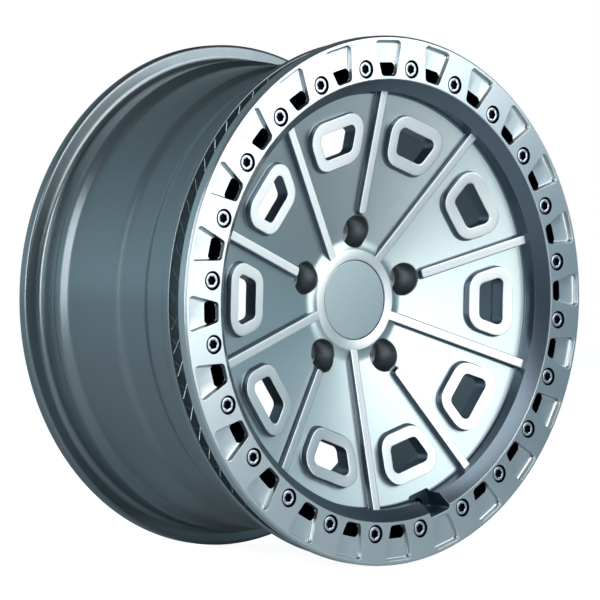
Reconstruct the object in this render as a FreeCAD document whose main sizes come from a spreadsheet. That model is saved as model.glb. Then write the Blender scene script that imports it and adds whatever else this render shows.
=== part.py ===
import FreeCAD, Part
import Sketcher
import math
import os

# Forged off-road car wheel, 9J x 18, with a bolted bead clamp ring.
# The wheel turns about Y. Its hub mounting face is the plane Y = 0 and its street side looks along -Y.
# Angles go from +X towards +Z. Depths are counted back from the front of the clamp ring.

SIZES = [
    # where things sit along the axle
    ("hub_to_front", 98.0), ("overall_width", 254.0),
    # clamp ring
    ("ring_radius", 247.3), ("ring_inner_radius", 206.9), ("ring_back_radius", 195.8),
    ("ring_thickness", 11.2),
    ("ring_edge_bevel", 2.0), ("ring_back_bevel", 1.0),
    ("bolt_count", 24), ("bolt_circle_radius", 217.6), ("valve_angle", -72.0),
    ("pocket_inner", 209.6), ("pocket_outer", 242.8), ("pocket_inner_half", 8.6), ("pocket_outer_half", 17.0),
    ("pocket_corner", 4.2), ("pocket_depth", 4.6),
    ("relief_outer", 222.6), ("relief_inset", 0.8), ("relief_corner", 3.6), ("relief_depth", 14.0),
    ("notch_inner", 191.5), ("notch_outer", 211.0), ("notch_half", 13.2), ("notch_corner", 3.0),
    ("notch_floor_depth", 30.0),
    ("valve_hole_radius", 5.75), ("valve_start_radius", 207.0), ("valve_tilt", 45.0),
    ("valve_hole_length", 60.0),
    # ring bolts
    ("bolt_head_radius", 7.0), ("bolt_head_height", 5.2), ("bolt_shank_radius", 4.0), ("bolt_length", 21.0),
    ("counterbore_radius", 8.4), ("counterbore_depth", 6.0), ("bolt_clearance", 0.3),
    ("thread_clearance", 0.05),
    ("thread_depth", 18.0), ("socket_radius", 4.1), ("socket_depth", 3.4), ("head_edge", 0.6),
    # front land, clamp shelf and shoulder
    ("wall_radius", 196.2), ("shelf_radius", 230.5), ("shoulder_radius", 243.5), ("shoulder_depth", 29.3),
    ("shoulder_thickness", 6.7), ("shoulder_edge", 1.6),
    # barrel
    ("front_seat_radius", 230.0), ("front_seat_length", 11.0), ("hump_radius", 231.6), ("hump_length", 4.5),
    ("hump_run", 2.5), ("barrel_radius", 225.5), ("barrel_wall", 6.5), ("front_slope_run", 6.5),
    ("well_start_depth", 84.0), ("well_end_depth", 134.0), ("well_drop", 4.0), ("well_run", 8.0),
    ("rear_slope_depth", 203.0), ("rear_slope_run", 9.0), ("rear_hump_length", 6.0),
    ("bead_seat_radius", 231.0), ("bead_seat_drop", 1.2), ("flange_radius", 247.9),
    ("flange_thickness", 11.5),
    ("flange_fillet", 6.0), ("flange_lip", 6.5), ("flange_edge", 3.4), ("slope_fillet", 7.0),
    # forged disc
    ("face_rim_depth", 25.6), ("face_rim_radius", 194.0), ("face_slope", 0.235),
    ("raised_rim_depth", 18.3), ("raised_slope", 0.2475), ("disc_thickness", 8.6),
    ("disc_back_radius", 200.0),
    ("disc_back_fillet", 14.0), ("wall_fillet", 3.0),
    # ribs and windows
    ("rib_half_width", 4.2), ("short_rib_start", 81.8), ("rib_end_corner", 2.0),
    ("window_inner", 140.6), ("window_outer", 166.2), ("window_inner_half", 16.4),
    ("window_outer_half", 24.7),
    ("window_corner", 6.0), ("frame_width", 10.8),
    # hub
    ("lug_count", 5), ("lug_angle", 90.0), ("lug_circle_radius", 65.0), ("lug_pocket_radius", 16.0),
    ("lug_sleeve_wall", 1.7), ("lug_seat_depth", 84.0), ("lug_seat_thickness", 6.0), ("lug_hole_radius", 7.8),
    ("lug_seat_radius", 12.0), ("hub_pad_radius", 81.0), ("hub_pad_top_radius", 90.0),
    ("hub_bore_radius", 35.8),
    ("hub_bore_chamfer", 1.5), ("hub_bore_length", 20.0), ("hub_bore_step", 1.0),
    ("boss_radius", 49.6), ("boss_depth", 54.6), ("boss_side_radius", 51.4), ("boss_side_drop", 2.1),
    ("boss_hollow_radius", 54.2), ("boss_hollow_drop", 3.05), ("boss_foot_radius", 58.0),
    ("rib_overlap", 1.5),
    # centre cap
    ("cap_recess_radius", 38.1), ("cap_recess_depth", 5.4), ("cap_lip_radius", 33.0), ("cap_lip_length", 8.0),
    ("cap_clearance", 0.35), ("cap_drop", 0.7), ("cap_edge", 0.8), ("cap_skirt_wall", 1.6),
    ("cap_leg_clearance", 0.4),
    ("cap_bead", 1.1), ("cap_bead_length", 2.2), ("cap_slot_half", 3.0), ("cap_leg_count", 6),
    ("spring_wire_radius", 0.9),
]

doc = FreeCAD.newDocument("forged_wheel")
sheet = doc.addObject("Spreadsheet::Sheet", "Sizes")
for row, (alias, number) in enumerate(SIZES, start=1):
    sheet.set(f"A{row}", alias)
    sheet.set(f"B{row}", str(number))
    sheet.setAlias(f"B{row}", alias)
doc.recompute()


class Size:
    """A length, angle or count that knows its value and the sheet formula that gives it."""

    def __init__(self, text, value):
        self.text = text
        self.value = value

    def joined(self, other, sign, value):
        return Size(f"({self.text} {sign} {as_size(other).text})", value)

    def __add__(self, other):
        return self.joined(other, "+", self.value + as_size(other).value)

    def __sub__(self, other):
        return self.joined(other, "-", self.value - as_size(other).value)

    def __mul__(self, other):
        return self.joined(other, "*", self.value * as_size(other).value)

    def __truediv__(self, other):
        return self.joined(other, "/", self.value / as_size(other).value)

    def __neg__(self):
        return Size(f"(0 - {self.text})", -self.value)


def as_size(number):
    return number if isinstance(number, Size) else Size(repr(float(number)), float(number))


S = {alias: Size(f"Sizes.{alias}", float(sheet.get(alias))) for alias, _ in SIZES}
ZERO = as_size(0.0)


def at(depth):
    """Y of a depth behind the front of the clamp ring."""
    return as_size(depth) - S["hub_to_front"]


def face_depth(radius):
    return S["face_rim_depth"] + S["face_slope"] * (S["face_rim_radius"] - radius)


def raised_depth(radius):
    return S["raised_rim_depth"] + S["raised_slope"] * (S["face_rim_radius"] - radius)


def bind(feature, prop, size):
    feature.setExpression(prop, as_size(size).text)


def origin_part(body, role):
    return next(item for item in body.Origin.OriginFeatures if item.Role == role)


def new_body(name):
    body = doc.addObject("PartDesign::Body", name)
    body.Label = name
    return body


def turn_body(body, angle):
    """Turn a body about the axle so that its own +X lies at an angle of the wheel."""
    rotation = FreeCAD.Rotation(FreeCAD.Vector(0, -1, 0), angle.value)
    body.Placement = FreeCAD.Placement(FreeCAD.Vector(), rotation)
    bind(body, "Placement.Rotation.Angle", angle)


def section_sketch(body, name):
    """Sketch in the X-Y plane, radius across and depth up."""
    sketch = body.newObject("Sketcher::SketchObject", name)
    sketch.AttachmentSupport = [(origin_part(body, "XY_Plane"), "")]
    sketch.MapMode = "FlatFace"
    return sketch


def face_sketch(body, name, y, turn=ZERO):
    """Sketch that looks along the axle from the street side, at a Y and turned back by an angle."""
    sketch = body.newObject("Sketcher::SketchObject", name)
    sketch.AttachmentSupport = [(origin_part(body, "XZ_Plane"), "")]
    sketch.MapMode = "FlatFace"
    turned = FreeCAD.Rotation(FreeCAD.Vector(0, 0, -1), turn.value)
    sketch.AttachmentOffset = FreeCAD.Placement(FreeCAD.Vector(0, 0, -y.value), turned)
    bind(sketch, "AttachmentOffset.Base.z", -y)
    if turn.value:
        bind(sketch, "AttachmentOffset.Rotation.Angle", turn)
    return sketch


def pin_point(sketch, geo, position, point):
    for kind, size in (("DistanceX", point[0]), ("DistanceY", point[1])):
        index = sketch.addConstraint(Sketcher.Constraint(kind, -1, 1, geo, position, size.value))
        bind(sketch, f"Constraints[{index}]", size)


def vector(point):
    return FreeCAD.Vector(point[0].value, point[1].value, 0)


def outline(sketch, points, construction=False):
    """Closed chain of straight lines through points whose places come from the sheet."""
    first = sketch.GeometryCount
    count = len(points)
    for here, there in zip(points, points[1:] + points[:1]):
        sketch.addGeometry(Part.LineSegment(vector(here), vector(there)), construction)
    for i in range(count):
        sketch.addConstraint(Sketcher.Constraint("Coincident", first + i, 2, first + (i + 1) % count, 1))
        pin_point(sketch, first + i, 1, points[i])
    return first


def rounded_outline(sketch, points, radius):
    """Closed convex outline, anticlockwise, with the same radius at each corner."""
    guide = outline(sketch, points, construction=True)
    count = len(points)
    corners = [vector(point) for point in points]
    arcs = []
    for i in range(count):
        back = (corners[i - 1] - corners[i]).normalize()
        ahead = (corners[(i + 1) % count] - corners[i]).normalize()
        half = back.getAngle(ahead) / 2
        reach = radius.value / math.tan(half)
        middle = (back + ahead).normalize() * (radius.value / math.sin(half))
        arcs.append((corners[i] + back * reach, corners[i] + middle, corners[i] + ahead * reach))
    first = sketch.GeometryCount
    for i in range(count):
        start, centre, end = arcs[i]
        from_angle = math.atan2(start.y - centre.y, start.x - centre.x)
        to_angle = math.atan2(end.y - centre.y, end.x - centre.x)
        circle = Part.Circle(centre, FreeCAD.Vector(0, 0, 1), radius.value)
        sketch.addGeometry(Part.ArcOfCircle(circle, from_angle, to_angle))
        sketch.addGeometry(Part.LineSegment(end, arcs[(i + 1) % count][0]))
    for i in range(count):
        arc = first + 2 * i
        side = arc + 1
        next_arc = first + 2 * ((i + 1) % count)
        sketch.addConstraint(Sketcher.Constraint("Tangent", arc, 2, side, 1))
        sketch.addConstraint(Sketcher.Constraint("Tangent", side, 2, next_arc, 1))
        sketch.addConstraint(Sketcher.Constraint("PointOnObject", side, 1, guide + i))
        sketch.addConstraint(Sketcher.Constraint("PointOnObject", side, 2, guide + i))
        index = sketch.addConstraint(Sketcher.Constraint("Radius", arc, radius.value))
        bind(sketch, f"Constraints[{index}]", radius)


def circle_outline(sketch, centre, radius):
    circle = sketch.addGeometry(Part.Circle(vector(centre), FreeCAD.Vector(0, 0, 1), radius.value))
    pin_point(sketch, circle, 3, centre)
    index = sketch.addConstraint(Sketcher.Constraint("Radius", circle, radius.value))
    bind(sketch, f"Constraints[{index}]", radius)


def turned(body, name, points, axis="Y_Axis"):
    """Solid of revolution about the axle, or about the section sketch's own upright."""
    sketch = section_sketch(body, name + "_section")
    outline(sketch, points)
    revolution = body.newObject("PartDesign::Revolution", name)
    revolution.Profile = sketch
    revolution.ReferenceAxis = (origin_part(body, axis), [""])
    revolution.Angle = 360.0
    sketch.Visibility = False
    doc.recompute()
    return revolution


def turned_aside(body, name, points, radius):
    """Solid of revolution about a line beside the axle, at a radius along +X."""
    sketch = section_sketch(body, name + "_section")
    sketch.AttachmentOffset = FreeCAD.Placement(FreeCAD.Vector(radius.value, 0, 0), FreeCAD.Rotation())
    bind(sketch, "AttachmentOffset.Base.x", radius)
    outline(sketch, points)
    revolution = body.newObject("PartDesign::Revolution", name)
    revolution.Profile = sketch
    revolution.ReferenceAxis = (sketch, ["V_Axis"])
    revolution.Angle = 360.0
    doc.recompute()
    return revolution


def pocket(body, name, sketch, depth):
    before = body.Shape.Volume
    cut = body.newObject("PartDesign::Pocket", name)
    cut.Profile = sketch
    cut.Length = depth.value
    bind(cut, "Length", depth)
    doc.recompute()
    if body.Shape.Volume > before - 1e-3:
        raise RuntimeError(f"{name} cuts nothing")
    return cut


def prism(body, name, sketch, length):
    """Pad that runs back from a face sketch, away from the street side."""
    pad = body.newObject("PartDesign::Pad", name)
    pad.Profile = sketch
    pad.Length = length.value
    pad.Reversed = True
    bind(pad, "Length", length)
    doc.recompute()
    return pad


def around(body, name, feature, count, sweep=None):
    """Copies of a feature round the axle, over a whole turn or a sweep of degrees."""
    pattern = body.newObject("PartDesign::PolarPattern", name)
    pattern.Originals = [feature]
    pattern.Axis = (origin_part(body, "Y_Axis"), [""])
    pattern.Angle = 360.0 if sweep is None else sweep.value
    if sweep is not None:
        bind(pattern, "Angle", sweep)
    pattern.Occurrences = int(round(count.value))
    bind(pattern, "Occurrences", count)
    body.Tip = pattern
    doc.recompute()
    return pattern


def ring_edges(shape, marks):
    """Names of the circular edges about the axle at given radii and Y."""
    names = []
    for radius, y in marks:
        for number, edge in enumerate(shape.Edges, start=1):
            curve = edge.Curve
            if not isinstance(curve, Part.Circle):
                continue
            centre = curve.Center
            near_axle = math.hypot(centre.x, centre.z) < 1e-4
            if near_axle and abs(curve.Radius - radius.value) < 1e-3 and abs(centre.y - y.value) < 1e-3:
                names.append(f"Edge{number}")
    if len(names) < len(marks):
        raise RuntimeError("an edge to round was not found")
    return names


def round_edges(body, name, marks, radius):
    base = body.Tip
    fillet = body.newObject("PartDesign::Fillet", name)
    fillet.Base = (base, ring_edges(base.Shape, marks))
    fillet.Radius = radius.value
    bind(fillet, "Radius", radius)
    doc.recompute()
    return fillet


def combine(kind, name, **links):
    result = doc.addObject(kind, name)
    for prop, value in links.items():
        setattr(result, prop, value)
    doc.recompute()
    return result


def pocket_half(along):
    """Half width of the ring's tapered pockets at a distance from the axle."""
    rise = (S["pocket_outer_half"] - S["pocket_inner_half"]) / (S["pocket_outer"] - S["pocket_inner"])
    return S["pocket_inner_half"] + rise * (along - S["pocket_inner"])


def trapezoid(inner, outer, inner_half, outer_half):
    return [(inner, -inner_half), (outer, -outer_half), (outer, outer_half), (inner, inner_half)]


RELIEF = trapezoid(S["pocket_inner"] + S["relief_inset"], S["relief_outer"],
                   pocket_half(S["pocket_inner"]) - S["relief_inset"],
                   pocket_half(S["relief_outer"]) - S["relief_inset"])
NOTCH = trapezoid(S["notch_inner"], S["notch_outer"], S["notch_half"], S["notch_half"])
BOLT_PITCH = as_size(360.0) / S["bolt_count"]
ALL_BUT_NOTCH = S["bolt_count"] - 1
RELIEF_SWEEP = as_size(360.0) - BOLT_PITCH * 2
FRONT = at(0.0)
LAND = at(S["ring_thickness"])


def beadlock_ring():
    """Clamp ring: a turned plate with a sloped bore, pockets between the bolts and a notch for the valve."""
    body = new_body("beadlock_ring")
    outer = S["ring_radius"]
    turned(body, "ring_plate", [
        (S["ring_inner_radius"], FRONT),
        (S["ring_back_radius"], LAND),
        (outer - S["ring_back_bevel"], LAND),
        (outer, LAND - S["ring_back_bevel"]),
        (outer, FRONT + S["ring_edge_bevel"]),
        (outer - S["ring_edge_bevel"], FRONT),
    ])
    sketch = face_sketch(body, "pocket_outline", FRONT)
    rounded_outline(sketch, trapezoid(S["pocket_inner"], S["pocket_outer"], S["pocket_inner_half"],
                                      S["pocket_outer_half"]), S["pocket_corner"])
    around(body, "pockets", pocket(body, "pocket", sketch, S["pocket_depth"]), S["bolt_count"])
    sketch = face_sketch(body, "relief_outline", FRONT, BOLT_PITCH)
    rounded_outline(sketch, RELIEF, S["relief_corner"])
    relief = pocket(body, "relief", sketch, S["ring_thickness"] * 2)
    around(body, "reliefs", relief, ALL_BUT_NOTCH, RELIEF_SWEEP)
    seat = (S["bolt_circle_radius"], ZERO)
    sketch = face_sketch(body, "counterbore_outline", FRONT, BOLT_PITCH / 2)
    circle_outline(sketch, seat, S["counterbore_radius"])
    around(body, "counterbores", pocket(body, "counterbore", sketch, S["counterbore_depth"]), S["bolt_count"])
    sketch = face_sketch(body, "bolt_hole_outline", FRONT, BOLT_PITCH / 2)
    circle_outline(sketch, seat, S["bolt_shank_radius"] + S["bolt_clearance"])
    around(body, "bolt_holes", pocket(body, "bolt_hole", sketch, S["ring_thickness"] * 2), S["bolt_count"])
    sketch = face_sketch(body, "notch_outline", FRONT)
    rounded_outline(sketch, NOTCH, S["notch_corner"])
    pocket(body, "notch", sketch, S["ring_thickness"] * 2)
    turn_body(body, S["valve_angle"])
    return body


def ring_bolts():
    """Low round-headed bolts, sunk in the ring's counterbores."""
    body = new_body("ring_bolts")
    head_back = FRONT + S["counterbore_depth"]
    head_front = head_back - S["bolt_head_height"]
    bolt = turned_aside(body, "bolt", [
        (ZERO, head_front + S["socket_depth"]),
        (S["socket_radius"], head_front + S["socket_depth"]),
        (S["socket_radius"], head_front),
        (S["bolt_head_radius"] - S["head_edge"], head_front),
        (S["bolt_head_radius"], head_front + S["head_edge"]),
        (S["bolt_head_radius"], head_back),
        (S["bolt_shank_radius"], head_back),
        (S["bolt_shank_radius"], head_back + S["bolt_length"]),
        (ZERO, head_back + S["bolt_length"]),
    ], S["bolt_circle_radius"])
    around(body, "bolts", bolt, S["bolt_count"])
    turn_body(body, S["valve_angle"] - BOLT_PITCH / 2)
    return body


def wheel_blank():
    """Everything of the forging that is turned: land, shoulder, barrel, flange, disc and hub."""
    body = new_body("turned_blank")
    wall = S["barrel_wall"]
    shoulder = at(S["shoulder_depth"])
    shoulder_back = shoulder + S["shoulder_thickness"]
    hump_front = shoulder_back + S["front_seat_length"]
    hump_back = hump_front + S["hump_run"] + S["hump_length"]
    barrel_front = hump_back + S["front_slope_run"]
    well = S["barrel_radius"] - S["well_drop"]
    well_start = at(S["well_start_depth"])
    well_end = at(S["well_end_depth"])
    slope = at(S["rear_slope_depth"])
    rear_hump = slope + S["rear_slope_run"]
    rear_hump_back = rear_hump + S["rear_hump_length"]
    back = at(S["overall_width"])
    flange_front = back - S["flange_thickness"]
    disc_back = at(face_depth(S["disc_back_radius"]) + S["disc_thickness"])
    pad_top = at(face_depth(S["hub_pad_top_radius"]) + S["disc_thickness"])
    boss = at(S["boss_depth"])
    recess = boss + S["cap_recess_depth"]
    lip_back = recess + S["cap_lip_length"]
    turned(body, "blank", [
        (S["wall_radius"], LAND),
        (S["shelf_radius"], LAND),
        (S["shelf_radius"], shoulder),
        (S["shoulder_radius"], shoulder),
        (S["shoulder_radius"], shoulder_back),
        (S["front_seat_radius"], shoulder_back),
        (S["front_seat_radius"], hump_front),
        (S["hump_radius"], hump_front + S["hump_run"]),
        (S["hump_radius"], hump_back),
        (S["barrel_radius"], barrel_front),
        (S["barrel_radius"], well_start),
        (well, well_start + S["well_run"]),
        (well, well_end - S["well_run"]),
        (S["barrel_radius"], well_end),
        (S["barrel_radius"], slope),
        (S["hump_radius"], rear_hump),
        (S["hump_radius"], rear_hump_back),
        (S["bead_seat_radius"] - S["bead_seat_drop"], rear_hump_back + S["hump_run"]),
        (S["bead_seat_radius"], flange_front),
        (S["flange_radius"], flange_front),
        (S["flange_radius"], back),
        (S["flange_radius"] - S["flange_lip"], back),
        (S["bead_seat_radius"] - wall, flange_front + S["hump_run"]),
        (S["bead_seat_radius"] - wall, rear_hump),
        (S["barrel_radius"] - wall, slope),
        (S["barrel_radius"] - wall, well_end),
        (well - wall, well_end - S["well_run"]),
        (well - wall, well_start + S["well_run"]),
        (S["barrel_radius"] - wall, well_start),
        (S["barrel_radius"] - wall, barrel_front),
        (S["disc_back_radius"], disc_back),
        (S["hub_pad_top_radius"], pad_top),
        (S["hub_pad_radius"], ZERO),
        (S["hub_bore_radius"] + S["hub_bore_chamfer"], ZERO),
        (S["hub_bore_radius"], -S["hub_bore_chamfer"]),
        (S["hub_bore_radius"], -S["hub_bore_length"]),
        (S["hub_bore_radius"] - S["hub_bore_step"], -S["hub_bore_length"]),
        (S["hub_bore_radius"] - S["hub_bore_step"], lip_back),
        (S["cap_lip_radius"], lip_back),
        (S["cap_lip_radius"], recess),
        (S["cap_recess_radius"], recess),
        (S["cap_recess_radius"], boss),
        (S["boss_radius"], boss),
        (S["boss_side_radius"], boss + S["boss_side_drop"]),
        (S["boss_hollow_radius"], boss + S["boss_hollow_drop"]),
        (S["boss_foot_radius"], at(face_depth(S["boss_foot_radius"]))),
        (S["wall_radius"], at(face_depth(S["wall_radius"]))),
    ])
    round_edges(body, "wall_foot", [(S["wall_radius"], at(face_depth(S["wall_radius"])))], S["wall_fillet"])
    back_foot = [(S["disc_back_radius"], disc_back), (S["hub_pad_top_radius"], pad_top)]
    round_edges(body, "disc_back_foot", back_foot, S["disc_back_fillet"])
    round_edges(body, "flange_foot", [(S["bead_seat_radius"], flange_front)], S["flange_fillet"])
    flange_lip = [(S["flange_radius"], flange_front), (S["flange_radius"], back)]
    round_edges(body, "flange_lip", flange_lip, S["flange_edge"])
    shoulder_lip = [(S["shoulder_radius"], shoulder), (S["shoulder_radius"], shoulder_back)]
    round_edges(body, "shoulder_lip", shoulder_lip, S["shoulder_edge"])
    rear_slope = [(S["barrel_radius"], slope), (S["hump_radius"], rear_hump)]
    round_edges(body, "rear_slope", rear_slope, S["slope_fillet"])
    return body


def raised_layer():
    """The skin of the forging in which the ribs and window frames stand, between two cones."""
    body = new_body("raised_layer")
    sink = S["disc_thickness"] / 2
    inner = S["boss_radius"] - S["rib_overlap"]
    outer = S["wall_radius"] + S["rib_overlap"]
    turned(body, "layer", [
        (inner, at(raised_depth(inner))),
        (outer, at(raised_depth(outer))),
        (outer, at(face_depth(outer) + sink)),
        (inner, at(face_depth(inner) + sink)),
    ])
    return body


def rib_prisms(name, start, turn):
    body = new_body(name)
    sketch = face_sketch(body, name + "_outline", FRONT)
    end = S["wall_radius"] + S["rib_overlap"]
    half = S["rib_half_width"]
    rounded_outline(sketch, trapezoid(start, end, half, half), S["rib_end_corner"])
    around(body, name + "_round", prism(body, name + "_one", sketch, S["hub_to_front"]), S["lug_count"])
    turn_body(body, turn)
    return body


def window_prisms(name, grow, corner):
    """One prism for each window, its outline grown evenly on all sides."""
    slant = (S["window_outer_half"] - S["window_inner_half"]) / (S["window_outer"] - S["window_inner"])
    tilt = math.atan(slant.value)
    side = grow * ((1 + math.sin(tilt)) / math.cos(tilt))
    side_outer = grow * ((1 - math.sin(tilt)) / math.cos(tilt))
    body = new_body(name)
    sketch = face_sketch(body, name + "_outline", FRONT)
    shape = trapezoid(S["window_inner"] - grow, S["window_outer"] + grow,
                      S["window_inner_half"] + side_outer, S["window_outer_half"] + side)
    rounded_outline(sketch, shape, corner)
    around(body, name + "_round", prism(body, name + "_one", sketch, S["hub_to_front"]), S["lug_count"] * 2)
    turn_body(body, S["lug_angle"] + as_size(180.0) / (S["lug_count"] * 2))
    return body


def lug_cutters():
    """Stepped drill that makes a lug pocket and its bolt hole, from the street side to past the hub face."""
    body = new_body("lug_cutters")
    floor = at(S["lug_seat_depth"] + S["lug_seat_thickness"])
    cutter = turned_aside(body, "lug_cutter", [
        (ZERO, FRONT),
        (S["lug_pocket_radius"], FRONT),
        (S["lug_pocket_radius"], floor),
        (S["lug_hole_radius"], floor),
        (S["lug_hole_radius"], S["lug_seat_thickness"]),
        (ZERO, S["lug_seat_thickness"]),
    ], S["lug_circle_radius"])
    around(body, "lug_cutters_round", cutter, S["lug_count"])
    turn_body(body, S["lug_angle"])
    return body


def land_cutters():
    """Cuts in the front land: reliefs behind the ring's openings, threaded holes and the valve notch."""
    body = new_body("land_reliefs")
    sketch = face_sketch(body, "land_relief_outline", FRONT, BOLT_PITCH)
    rounded_outline(sketch, RELIEF, S["relief_corner"])
    relief = prism(body, "land_relief", sketch, S["ring_thickness"] + S["relief_depth"])
    around(body, "land_reliefs_round", relief, ALL_BUT_NOTCH, RELIEF_SWEEP)
    turn_body(body, S["valve_angle"])

    holes = new_body("thread_holes")
    sketch = face_sketch(holes, "thread_outline", FRONT)
    circle_outline(sketch, (S["bolt_circle_radius"], ZERO), S["bolt_shank_radius"] + S["thread_clearance"])
    hole = prism(holes, "thread_hole", sketch, S["ring_thickness"] + S["thread_depth"])
    around(holes, "thread_holes_round", hole, S["bolt_count"])
    turn_body(holes, S["valve_angle"] - BOLT_PITCH / 2)

    notch = new_body("notch_cutter")
    sketch = face_sketch(notch, "notch_cutter_outline", FRONT)
    rounded_outline(sketch, NOTCH, S["notch_corner"])
    prism(notch, "notch_cut", sketch, S["notch_floor_depth"])
    turn_body(notch, S["valve_angle"])

    drill = doc.addObject("Part::Cylinder", "valve_drill")
    bind(drill, "Radius", S["valve_hole_radius"])
    bind(drill, "Height", S["valve_hole_length"])
    out = math.radians(S["valve_angle"].value)
    tilt = math.radians(S["valve_tilt"].value)
    radial = FreeCAD.Vector(math.cos(out), 0, math.sin(out))
    along = radial * math.sin(tilt) + FreeCAD.Vector(0, math.cos(tilt), 0)
    mouth = radial * S["valve_start_radius"].value
    mouth.y = at(S["notch_floor_depth"]).value
    drill.Placement = FreeCAD.Placement(mouth - along * S["valve_hole_radius"].value,
                                        FreeCAD.Rotation(FreeCAD.Vector(0, 0, 1), along))
    return [body, holes, notch, drill]


def wheel_body():
    """The forging: turned blank, ribs and window frames, then every cut."""
    rib_pitch = as_size(180.0) / S["lug_count"]
    blank = wheel_blank()
    details = combine("Part::MultiFuse", "details", Shapes=[
        rib_prisms("short_ribs", S["short_rib_start"], S["lug_angle"]),
        rib_prisms("long_ribs", S["boss_radius"] - S["rib_overlap"], S["lug_angle"] + rib_pitch),
        window_prisms("frames", S["frame_width"], S["window_corner"] + S["frame_width"]),
    ])
    raised = combine("Part::MultiCommon", "raised_details", Shapes=[details, raised_layer()])
    forging = combine("Part::MultiFuse", "forging", Shapes=[blank, raised])
    cutters = [window_prisms("windows", ZERO, S["window_corner"]), lug_cutters()] + land_cutters()
    cutter = combine("Part::MultiFuse", "cutters", Shapes=cutters)
    body = combine("Part::Cut", "wheel_body", Base=forging, Tool=cutter)
    body.Label = "wheel_body"
    return body


def lug_seat_sleeves():
    """Dark steel seats pressed into the lug pockets, trimmed to the slope of the face."""
    raw = new_body("sleeve_blanks")
    seat = at(S["lug_seat_depth"])
    floor = seat + S["lug_seat_thickness"]
    bore = S["lug_pocket_radius"] - S["lug_sleeve_wall"]
    sleeve = turned_aside(raw, "sleeve", [
        (S["lug_hole_radius"], floor),
        (S["lug_hole_radius"], seat + S["lug_seat_thickness"] / 2),
        (S["lug_seat_radius"], seat),
        (bore, seat),
        (bore, FRONT),
        (S["lug_pocket_radius"], FRONT),
        (S["lug_pocket_radius"], floor),
    ], S["lug_circle_radius"])
    around(raw, "sleeves_round", sleeve, S["lug_count"])
    turn_body(raw, S["lug_angle"])
    under = new_body("under_face")
    inner = S["cap_recess_radius"]
    outer = S["hub_pad_top_radius"] + S["lug_pocket_radius"]
    turned(under, "under", [
        (inner, at(face_depth(inner))),
        (inner, ZERO),
        (outer, ZERO),
        (outer, at(face_depth(outer))),
    ])
    sleeves = combine("Part::MultiCommon", "lug_seat_sleeves", Shapes=[raw, under])
    sleeves.Label = "lug_seat_sleeves"
    return sleeves


def cap_places():
    seat = at(S["boss_depth"] + S["cap_recess_depth"])
    skirt = S["cap_lip_radius"] - S["cap_leg_clearance"]
    hook = seat + S["cap_lip_length"] + S["cap_leg_clearance"]
    return seat, skirt, hook


def centre_cap():
    """Plain push-in cap: a disc on the recess floor and six legs that snap behind the bore's lip."""
    body = new_body("centre_cap")
    seat, skirt, hook = cap_places()
    inside = skirt - S["cap_skirt_wall"]
    rim = S["cap_recess_radius"] - S["cap_clearance"]
    front = at(S["boss_depth"] + S["cap_drop"])
    end = hook + S["cap_bead_length"]
    turned(body, "cap", [
        (ZERO, front),
        (rim - S["cap_edge"], front),
        (rim, front + S["cap_edge"]),
        (rim, seat),
        (skirt, seat),
        (skirt, hook),
        (skirt + S["cap_bead"], hook),
        (skirt, end),
        (inside, end),
        (inside, seat - S["cap_skirt_wall"]),
        (ZERO, seat - S["cap_skirt_wall"]),
    ])
    sketch = face_sketch(body, "leg_slot_outline", end)
    half = S["cap_slot_half"]
    outline(sketch, trapezoid(inside - S["cap_skirt_wall"], skirt + S["cap_bead"] * 2, half, half))
    slot = body.newObject("PartDesign::Pocket", "leg_slot")
    slot.Profile = sketch
    slot.Reversed = True
    bind(slot, "Length", end - seat)
    doc.recompute()
    around(body, "leg_slots", slot, S["cap_leg_count"])
    return body


def cap_retaining_ring():
    """Round spring wire that holds the cap's legs apart."""
    seat, skirt, hook = cap_places()
    ring = doc.addObject("Part::Torus", "cap_retaining_ring")
    bind(ring, "Radius1", skirt - S["cap_skirt_wall"] - S["spring_wire_radius"])
    bind(ring, "Radius2", S["spring_wire_radius"])
    ring.Placement = FreeCAD.Placement(FreeCAD.Vector(0, hook.value, 0),
                                       FreeCAD.Rotation(FreeCAD.Vector(1, 0, 0), 90))
    bind(ring, "Placement.Base.y", hook)
    ring.Label = "cap_retaining_ring"
    return ring


subparts = [
    wheel_body(), beadlock_ring(), ring_bolts(), lug_seat_sleeves(), centre_cap(), cap_retaining_ring(),
]
doc.recompute()

for item in doc.Objects:
    if "Invalid" in item.State or "Error" in item.State:
        raise RuntimeError(f"{item.Name} failed: {item.State}")
for part in subparts:
    if part.Shape.isNull() or not part.Shape.isValid():
        raise RuntimeError(f"{part.Label} has no valid shape")

os.makedirs("parts", exist_ok=True)
for part in subparts:
    part.Shape.exportStep(f"parts/{part.Label}.step")
    box = part.Shape.BoundBox
    print(part.Label, len(part.Shape.Solids), "solids", round(part.Shape.Volume), "mm3",
          [round(v, 2) for v in (box.XMin, box.XMax, box.YMin, box.YMax, box.ZMin, box.ZMax)])
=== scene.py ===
import math

import bpy
from bpy.props import FloatProperty, FloatVectorProperty, IntProperty, PointerProperty
from mathutils import Matrix, Vector
from mathutils.geometry import delaunay_2d_cdt, tessellate_polygon


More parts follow.
